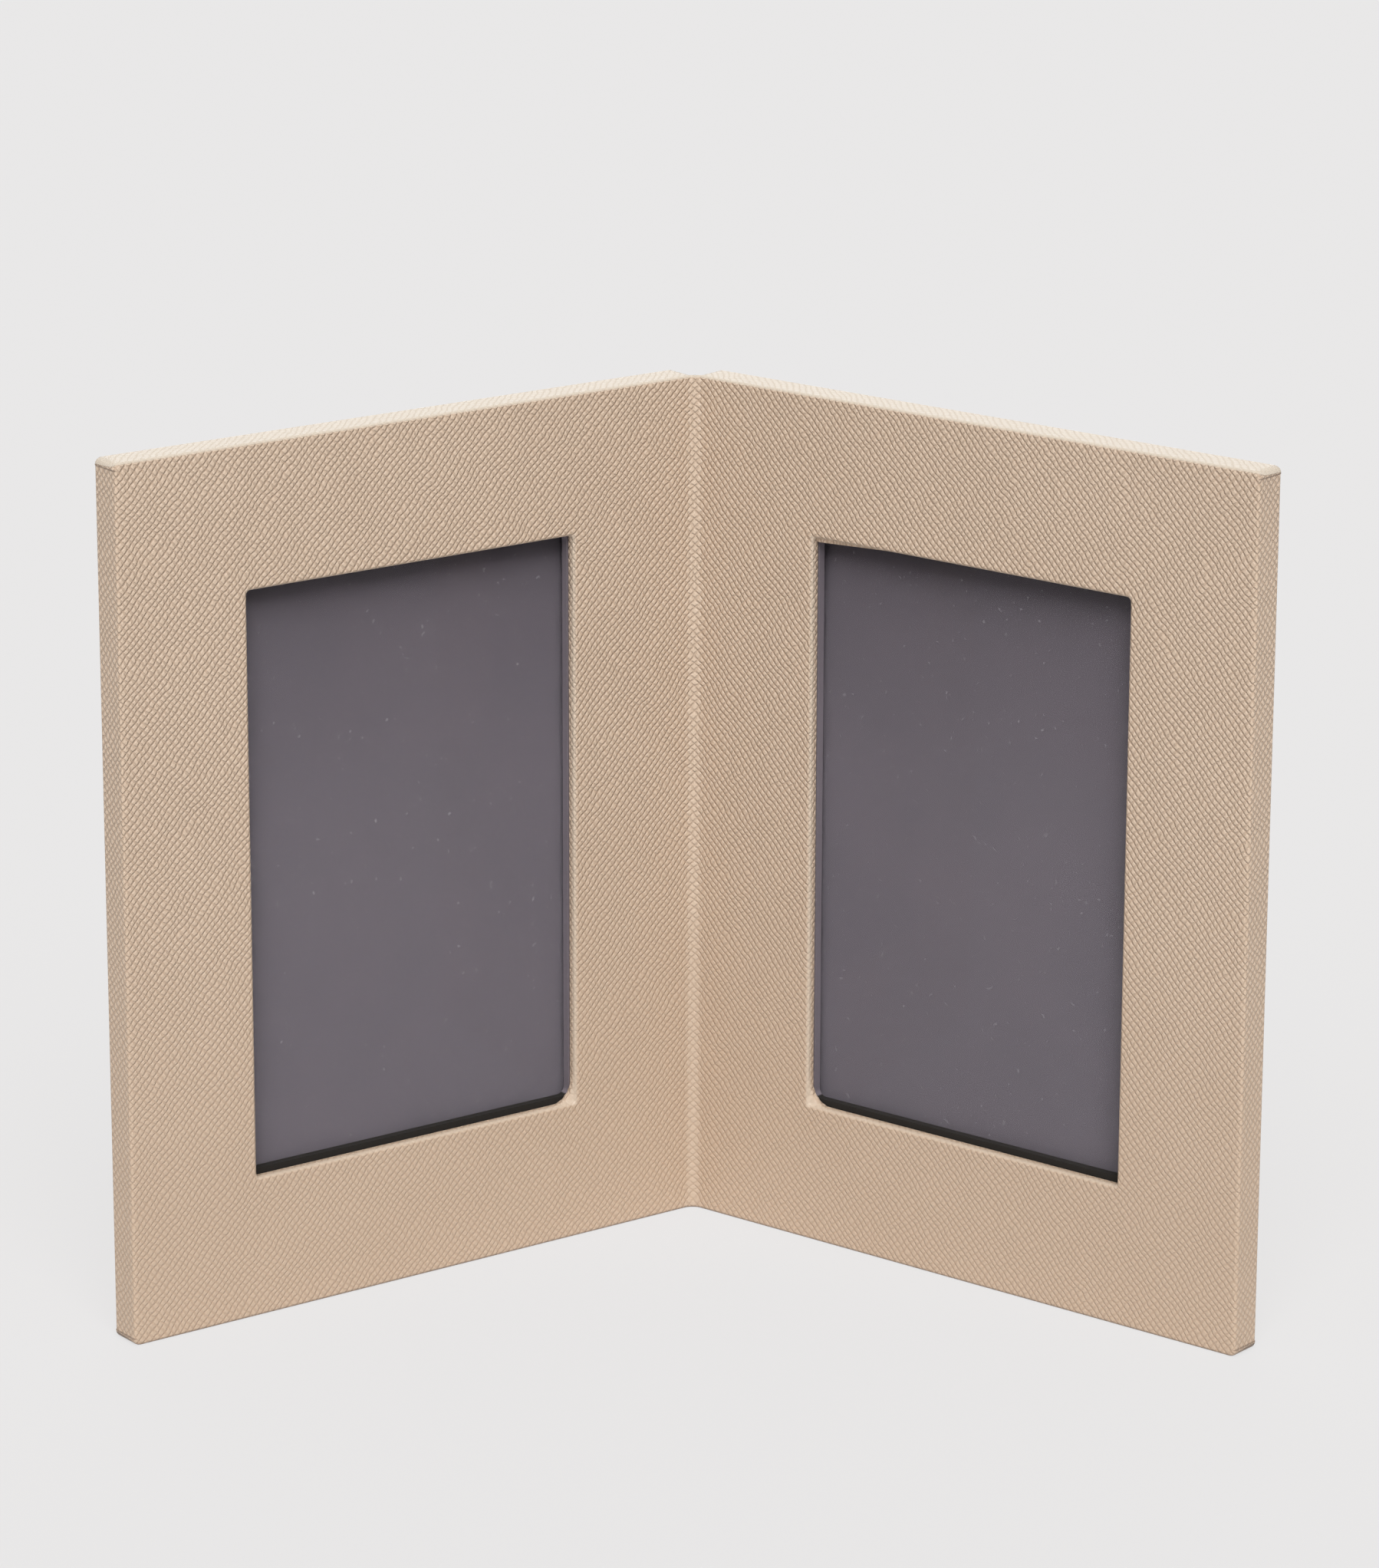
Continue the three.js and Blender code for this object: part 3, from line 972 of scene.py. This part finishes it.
@dataclass
class Covering:
    """The one leather over both fronts, the fold and the wrapped edges."""

    finishes: Finishes
    sizes: Sizes = SIZES
    pitch: float = 2.6  # the grid's largest step
    lip_margin: float = 6.0  # how far outside a window the grid stops
    back_bend: float = 0.5  # radius of the turn behind the window board
    lap_lines: tuple[float, float] = (1.0, 1.12)  # either side of a lap's end, in from the arris
    lap: float = 0.13  # how far a lap stands out
    web_front: float = 0.9  # the depth where a window's corner starts to fill
    web_ramp: float = 0.6  # how fast it fills
    web_reach: float = 4.6  # how far from the corner the leather is pulled
    web_pull: float = 1.5
    sag_from: float = 1.5  # the depth from which a turn-in hangs loose
    sag_reach: float = 27.0  # how far along it does
    sag: float = 1.2
    sag_forward: float = 0.45
    sag_lift: float = 0.2  # how far the leather before it is drawn up

    def stations(self) -> tuple[list[float], list[float]]:
        """Where the flat grid's lines are.

        Returns:
            Stations across the leather and up it.
        """
        s = self.sizes
        hole = self.hole()
        edge = s.free_end - PLAN.shift - s.arris
        fold = [0.0, 0.36, 0.72, s.hinge_end - PLAN.shift, 1.5, PLAN.half_bend, 2.4, 3.2, 4.6, 6.6]
        right = merged(
            fold,
            spread(fold[-1], hole.left, self.pitch),
            spread(hole.left, hole.right, self.pitch),
            spread(hole.right, edge - 3.0, self.pitch),
            (edge - 1.4, edge),
        )
        low, high = s.arris, s.height - s.arris
        up = merged(
            (low, *(low + line for line in self.lap_lines)),
            spread(low + 3.0, hole.bottom, self.pitch),
            spread(hole.bottom, hole.top, self.pitch),
            spread(hole.top, high - 3.0, self.pitch),
            (*(high - line for line in self.lap_lines), high),
        )
        return merged((-value for value in right), right), up

    def hole(self) -> Rect:
        """The opening of the flat grid on the right leaf, a little larger than the window."""
        window, shift = self.sizes.window, PLAN.shift
        moved = Rect(window.left - shift, window.right - shift, window.bottom, window.top)
        return moved.grown(self.lip_margin)

    def window_rings(self) -> tuple[list[Ring], list[Ring]]:
        """How the leather turns into a window.

        Returns:
            The rings from the grid to the lip, and those from the lip to behind the board.
        """
        s = self.sizes
        lip = s.window_corner + s.arris
        flat = [Ring(lip + gap, s.skin_front, lip + gap) for gap in (3.6, 1.8, 0.8, 0.3, 0.0)]
        turned = quarter(flat[-1], -s.arris, s.arris, 5, heading=-1)
        wall_end = s.turn_in_back - self.back_bend
        last = turned[-1]
        turned += [
            Ring(s.window_corner, depth, last.run - (depth - last.depth))
            for depth in (1.4, 1.8, wall_end)
        ]
        bend = self.back_bend
        turned += quarter(turned[-1], bend, bend, 3, heading=-1, from_face=False)
        reach = s.window_corner + s.window_turn_in
        turned.append(Ring(reach, s.turn_in_back, turned[-1].run - (reach - turned[-1].reach)))
        return flat, turned

    def outer_rings(self) -> tuple[list[Ring], list[Ring]]:
        """How the leather turns round a leaf's outer edges.

        Returns:
            The rings of the front arris, and those of the wall and the back arris.
        """
        s = self.sizes
        start = s.corner - s.arris
        arris = quarter(Ring(start, s.skin_front, start), s.arris, s.arris, 5)
        last = arris[-1]
        wall = [
            Ring(s.corner, depth, last.run + depth - last.depth)
            for depth in (1.6, 3.2, 4.8, 6.4, 7.8, s.body_back - s.arris)
        ]
        wall += quarter(wall[-1], -s.arris, s.arris, 4, from_face=False)
        return arris, wall

    def lap_corners(self, sheet: LeatherSheet, edge: float) -> None:
        """Laps the leather of the top and bottom over the end faces at the outer corners.

        Args:
            sheet: The covering, still flat across.
            edge: Where the end faces are.
        """
        s = self.sizes
        seam = s.arris + sum(self.lap_lines) / 2
        for vert in sheet.bm.verts:
            away = vert[sheet.away]
            beside = min(vert.co.y, s.height - vert.co.y) < seam and abs(vert.co.x) > edge
            if beside and abs(away.x) > 0.1 and vert.co.z > s.skin_front + 0.05:
                turned = min(1.0, (vert.co.z - s.skin_front) / s.arris)
                vert.co.x += math.copysign(self.lap * turned * abs(away.x), vert.co.x)

    def ease_windows(self, sheet: LeatherSheet) -> None:
        """Fills the windows' lower hinge corners with stretched leather and lets one turn-in sag.

        Args:
            sheet: The covering, still flat across.
        """
        window = self.sizes.window
        inner, outer = window.left - PLAN.shift, window.right - PLAN.shift
        for vert in sheet.bm.verts:
            x, z, depth = vert.co
            turned = self.web_front <= depth <= self.sizes.turn_in_back
            if not (turned and inner - 1 < abs(x) < outer + 1):
                continue
            corner = math.hypot(abs(x) - inner, z - window.bottom) / self.web_reach
            if corner < 1:
                share = (1 - corner) ** 1.3 * min(1.0, (depth - self.web_front) / self.web_ramp)
                vert.co.x += math.copysign(self.web_pull * share, x)
                vert.co.y += self.web_pull * share
            loose = 1 - max((x - inner) / self.sag_reach, 0.0)
            if x > 0 and window.top - 1.3 < z < window.top + 2 and loose > 0:
                share = loose * max(0.0, vert[sheet.away].y) ** 3
                hangs = depth >= self.sag_from
                vert.co.y -= share * (self.sag if hangs else -self.sag_lift)
                vert.co.z -= share * (self.sag_forward if hangs else 0.0)

    def build(self) -> bpy.types.Object:
        """Makes the covering.

        Returns:
            The piece, bending at the fold.
        """
        s = self.sizes
        across, up = self.stations()
        sheet = LeatherSheet(across, up, s.skin_front)
        edge = s.free_end - PLAN.shift
        outline = Rect(-edge, edge, 0.0, s.height)
        sheet.round_corners(s.corner - s.arris, 4)
        rim = sheet.outer_edges(outline.grown(-s.arris - 2.0))
        sheet.aim(rim, outline.grown(-s.corner))
        arris, wall = self.outer_rings()
        rim = sheet.turn(rim, arris)
        hinge = s.hinge_end - PLAN.shift - 1e-3
        rim = [e for e in rim if all(abs(v.co.x) > hinge for v in e.verts)]
        rim = sheet.turn(rim, wall)
        sheet.fold_under(rim, outline.grown(-s.back_turn_in))
        flat, turned = self.window_rings()
        for hole in (self.hole(), self.hole().mirrored()):
            lip = sheet.open_hole(hole)
            sheet.aim(lip, hole.grown(-self.lip_margin - s.window_corner))
            sheet.turn(sheet.turn(lip, flat), turned)
        self.lap_corners(sheet, edge - s.arris)
        self.ease_windows(sheet)
        piece = sheet.finish(
            "covering", lambda at: PLAN.covering(at.x, at.y, at.z), Vector((0, -1, 0)), s.leather
        )
        dress(piece, self.finishes.leather)
        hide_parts("left_front_leather", "right_front_leather", "fold_leather")
        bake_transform(piece)
        log.info("covering: %d vertices", len(piece.data.vertices))
        return piece


@dataclass
class Lining:
    """The strip behind the fold, with a slot over each pocket."""

    finishes: Finishes
    sizes: Sizes = SIZES
    slot_station: int = 2

    def half_path(self) -> list[tuple[float, float]]:
        """The strip's plan on one leaf, from the fold outwards.

        Returns:
            Stations out from the fold and in depth. The slot lies behind slot_station.
        """
        s = self.sizes
        back, corner = s.lining_back, 0.5
        wall = [s.lining_front, 3.2, s.glazing_back - 0.15, s.card_back + 0.15, 8.2, back - corner]
        path = [(s.hinge_end, depth) for depth in wall]
        for step in range(1, 4):
            angle = step / 3 * math.pi / 2
            path.append(
                (
                    s.hinge_end + corner * (1 - math.cos(angle)),
                    back - corner + corner * math.sin(angle),
                )
            )
        path += [(s.hinge_end + out, back) for out in (2.0, 5.0, s.lining_turn_in)]
        return path

    def plan_points(self) -> list[Vector]:
        """The strip's whole plan.

        Returns:
            Points from the left turn-in to the right one, in metres.
        """
        s = self.sizes
        half = self.half_path()
        left = [PLAN.leaf(Side.LEFT, out, 0.0, depth) for out, depth in reversed(half)]
        right = [PLAN.leaf(Side.RIGHT, out, 0.0, depth) for out, depth in half]
        valley = Vector((0.0, s.lining_front / PLAN.sine + s.fold_y, 0.0)) * MM
        bend = []
        for step in range(1, 8):
            t = step / 8
            bend.append(left[-1] * (1 - t) ** 2 + valley * (2 * t * (1 - t)) + right[0] * t**2)
        return left + bend + right

    def build(self) -> bpy.types.Object:
        """Makes the lining.

        Returns:
            The piece, bending at the fold.
        """
        s = self.sizes
        points = self.plan_points()
        along = [0.0]
        for before, after in zip(points, points[1:]):
            along.append(along[-1] + (after - before).length / MM)
        middle = along[-1] / 2
        along = [value - middle for value in along]
        stops = (s.board_low, s.slot_low, s.slot_high, s.board_high)
        up = merged(*(spread(low, high, 6.0) for low, high in zip(stops, stops[1:])))
        sheet = LeatherSheet(along, up, 0.0)
        count = len(self.half_path())
        for index in (count - 2 - self.slot_station, len(along) - count + self.slot_station):
            low, high = along[index], along[index + 1]
            sheet.open_hole(Rect(low, high, s.slot_low, s.slot_high))
        lookup = dict(zip((round(value, 3) for value in along), points))
        piece = sheet.finish(
            "lining",
            lambda at: lookup[round(at.x, 3)] + Vector((0.0, 0.0, at.y * MM)),
            Vector((-PLAN.cosine, PLAN.sine, 0)),
            s.lining,
        )
        dress(piece, self.finishes.lining)
        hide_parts("fold_lining")
        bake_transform(piece)
        log.info("lining: %d vertices", len(piece.data.vertices))
        return piece


@dataclass
class BackPanel:
    """The leather over the thin panel that closes a leaf's back."""

    side: Side
    finishes: Finishes
    sizes: Sizes = SIZES
    pitch: float = 5.0

    def build(self) -> bpy.types.Object:
        """Makes the panel's leather.

        Returns:
            The piece, riding on its leaf.
        """
        s = self.sizes
        outline = Rect(s.hinge_end, s.free_end, 0.0, s.height).grown(-s.panel_inset)
        face = outline.grown(-s.panel_arris)
        across = merged(
            (face.left, face.left + 0.6), spread(face.left + 2.5, face.right - 2.5, self.pitch),
            (face.right - 0.6, face.right),
        )
        up = merged(
            (face.bottom, face.bottom + 0.6), spread(face.bottom + 2.5, face.top - 2.5, self.pitch),
            (face.top - 0.6, face.top),
        )
        sheet = LeatherSheet(across, up, s.panel_back)
        start = s.panel_corner - s.panel_arris
        sheet.round_corners(start, 5)
        rim = sheet.outer_edges(face.grown(-2.0))
        sheet.aim(rim, outline.grown(-s.panel_corner))
        rings = quarter(Ring(start, s.panel_back, start), s.panel_arris, -s.panel_arris, 4)
        last = rings[-1]
        rings.append(Ring(s.panel_corner, s.panel_front, last.run + last.depth - s.panel_front))
        sheet.turn(rim, rings)
        away = Vector((self.side.value * PLAN.cosine, PLAN.sine, 0))
        name = self.side.piece("back_leather")
        piece = sheet.finish(
            name, lambda at: PLAN.leaf(self.side, at.x, at.y, at.z), away, s.panel_leather
        )
        dress(piece, self.finishes.back)
        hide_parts(self.side.piece("back_panel_leather"))
        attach(piece, self.side.body)
        log.info("%s: %d vertices", name, len(piece.data.vertices))
        return piece


@dataclass
class Pocket:
    """The boards, rail, card and glazing of one leaf, which keep their CAD shape."""

    side: Side
    finishes: Finishes

    def build(self) -> None:
        """Gives each CAD piece its finish."""
        boards = ("window_board", "pocket_rail", "rear_board", "back_panel_board")
        finishes = {name: (self.finishes.greyboard, "board") for name in boards}
        finishes["carrier_card"] = (self.finishes.carrier, "black_card")
        finishes["window_slip"] = (self.finishes.slip, "black_card")
        finishes["glazing"] = (self.finishes.glazing, "glazing")
        for name, (material, slot) in finishes.items():
            dress(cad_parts[self.side.piece(name)], material)
            log.info("%s: finish set", self.side.piece(name))


@dataclass(frozen=True)
class Sun:
    """A soft sun."""

    name: str
    strength: float
    towards: tuple[float, float, float]  # from the object to the light
    width: float  # degrees

    def hang(self) -> None:
        """Adds the light."""
        data = bpy.data.lights.new(self.name, "SUN")
        data.energy = self.strength
        data.angle = math.radians(self.width)
        lamp = bpy.data.objects.new(self.name, data)
        bpy.context.scene.collection.objects.link(lamp)
        lamp.rotation_mode = "QUATERNION"
        lamp.rotation_quaternion = Vector(self.towards).to_track_quat("Z", "Y")


@dataclass
class Studio:
    """The floor, the light and the camera."""

    finishes: Finishes
    floor_size: float = 30.0  # metres
    sky: float = 0.42  # strength of the even light
    key: Sun = Sun("key", 2.75, (0.04, -0.66, 0.75), 40)
    fill: Sun = Sun("fill", 0.7, (-0.1, 0.95, 0.28), 60)
    camera_at: tuple[float, float, float] = (0.028657, -1.401719, 0.522738)
    pitch: float = 15.859  # degrees down
    yaw: float = -1.178  # degrees to the right
    roll: float = 0.158  # degrees
    lens: float = 139.618  # millimetres

    def build(self) -> None:
        """Makes the studio."""
        self.floor()
        self.light()
        self.camera()

    def floor(self) -> None:
        """Lays the floor."""
        bm = bmesh.new()
        bmesh.ops.create_grid(bm, x_segments=1, y_segments=1, size=self.floor_size / 2)
        mesh = bpy.data.meshes.new("floor")
        bm.to_mesh(mesh)
        bm.free()
        floor = bpy.data.objects.new("floor", mesh)
        bpy.context.scene.collection.objects.link(floor)
        dress(floor, self.finishes.floor)
        log.info("floor laid")

    def light(self) -> None:
        """Hangs the sky, a soft sun before the object and a weaker one behind it."""
        world = bpy.data.worlds.new("studio")
        bpy.context.scene.world = world
        world.use_nodes = True
        nodes = Nodes(world.node_tree)
        air = nodes.add(
            "ShaderNodeBackground", {"Color": (1.0, 0.985, 0.97, 1.0), "Strength": self.sky}
        )
        seen = nodes.add("ShaderNodeBackground", {"Color": linear(233, 232, 231), "Strength": 1.0})
        mixed = nodes.add(
            "ShaderNodeMixShader", {0: seen_directly(nodes), 1: air.outputs[0], 2: seen.outputs[0]}
        )
        nodes.add("ShaderNodeOutputWorld", {"Surface": mixed.outputs[0]})
        self.key.hang()
        self.fill.hang()
        bpy.context.scene.view_settings.view_transform = "Standard"
        log.info("lights hung")

    def camera(self) -> None:
        """Sets the camera where the photograph was taken from."""
        data = bpy.data.cameras.new("camera")
        data.lens = self.lens
        data.sensor_width = 36.0
        camera = bpy.data.objects.new("camera", data)
        bpy.context.scene.collection.objects.link(camera)
        pitch, yaw, roll = (math.radians(turn) for turn in (self.pitch, self.yaw, self.roll))
        level = math.cos(pitch)
        look = Vector((math.sin(yaw) * level, math.cos(yaw) * level, -math.sin(pitch)))
        right = Vector((math.cos(yaw), -math.sin(yaw), 0.0))
        up = right.cross(look)
        side = right * math.cos(roll) + up * math.sin(roll)
        top = up * math.cos(roll) - right * math.sin(roll)
        turned = Matrix((side, top, -look)).transposed().to_4x4()
        camera.matrix_world = Matrix.Translation(self.camera_at) @ turned
        data.clip_start, data.clip_end = 0.05, 100.0
        bpy.context.scene.camera = camera
        log.info("camera set")


def main() -> None:
    """Builds the looks in order."""
    logging.basicConfig(level=logging.INFO, format="%(message)s")
    finishes = Finishes()
    Covering(finishes).build()
    Lining(finishes).build()
    for side in Side:
        BackPanel(side, finishes).build()
        Pocket(side, finishes).build()
    Studio(finishes).build()


if __name__ == "__main__":
    main()
